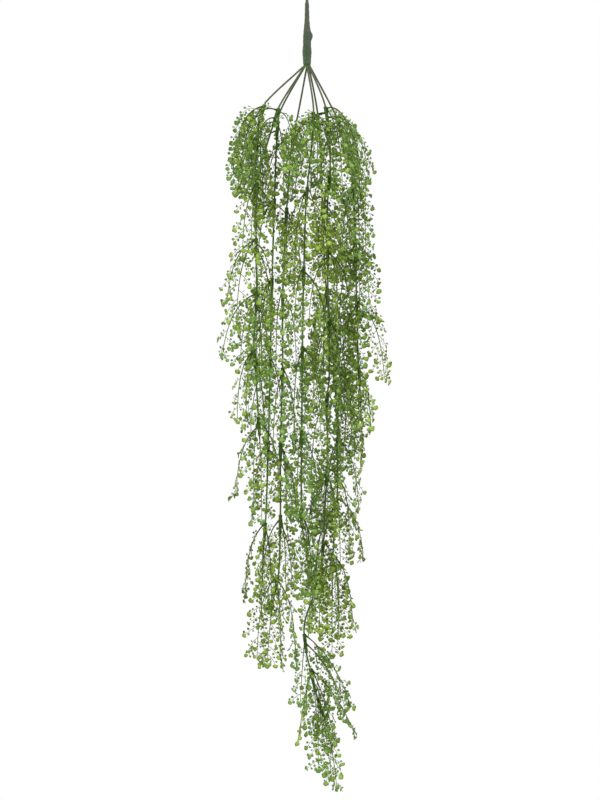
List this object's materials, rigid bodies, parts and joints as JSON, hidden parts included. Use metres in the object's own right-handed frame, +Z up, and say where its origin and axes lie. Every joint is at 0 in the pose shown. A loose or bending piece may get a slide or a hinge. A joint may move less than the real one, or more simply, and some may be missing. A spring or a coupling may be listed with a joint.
{
  "type": "artificial hanging maidenhair fern",
  "caption": "Artificial fern bunch that hangs by a taped stem: wire vines threaded through moulded plastic fronds of small fan-shaped leaflets.",
  "frame": {"origin": "middle of the stem's cut top end", "axes": "+Z up along the stem, the vines hang down -Z; -Y faces the picture's viewer, +X is to the viewer's right"},
  "size_m": [0.2505, 0.2179, 1.1472],
  "materials": {
    "stem_coat": "dark brown plastic coat over a steel rod",
    "tape_olive": "waxed floral tape, satin, wound in a spiral",
    "tape_green": "blue-green waxed floral tape, satin, wound in a spiral",
    "wire_coat": "dark olive plastic coat over steel wire",
    "leaf": "soft moulded plastic, satin, yellow-green at the tips and darker inside"
  },
  "bodies": {
    "root": {"core_rod": "stem_coat", "tape_upper": "tape_olive", "tape_collar": "tape_green", "wire_1": "wire_coat", "wire_2": "wire_coat", "wire_3": "wire_coat", "wire_4": "wire_coat", "wire_5": "wire_coat", "wire_6": "wire_coat", "wire_7": "wire_coat", "wire_8": "wire_coat", "frond_1_1": "leaf", "frond_1_2": "leaf", "frond_2_1": "leaf", "frond_2_2": "leaf", "frond_2_3": "leaf", "frond_2_4": "leaf", "frond_2_5": "leaf", "frond_2_6": "leaf", "frond_3_1": "leaf", "frond_3_2": "leaf", "frond_3_3": "leaf", "frond_3_4": "leaf", "frond_3_5": "leaf", "frond_3_6": "leaf", "frond_4_1": "leaf", "frond_4_2": "leaf", "frond_4_3": "leaf", "frond_4_4": "leaf", "frond_4_5": "leaf", "frond_4_6": "leaf", "frond_4_7": "leaf", "frond_5_1": "leaf", "frond_5_2": "leaf", "frond_5_3": "leaf", "frond_5_4": "leaf", "frond_5_5": "leaf", "frond_5_6": "leaf", "frond_6_1": "leaf", "frond_6_2": "leaf", "frond_6_3": "leaf", "frond_6_4": "leaf", "frond_6_5": "leaf", "frond_6_6": "leaf", "frond_6_7": "leaf", "frond_7_1": "leaf", "frond_7_2": "leaf", "frond_7_3": "leaf", "frond_7_4": "leaf", "frond_7_5": "leaf", "frond_7_6": "leaf", "frond_7_7": "leaf", "frond_7_8": "leaf", "frond_7_9": "leaf", "frond_7_10": "leaf", "frond_8_1": "leaf", "frond_8_2": "leaf", "frond_8_3": "leaf", "frond_8_4": "leaf", "frond_8_5": "leaf"}
  },
  "joints": []
}
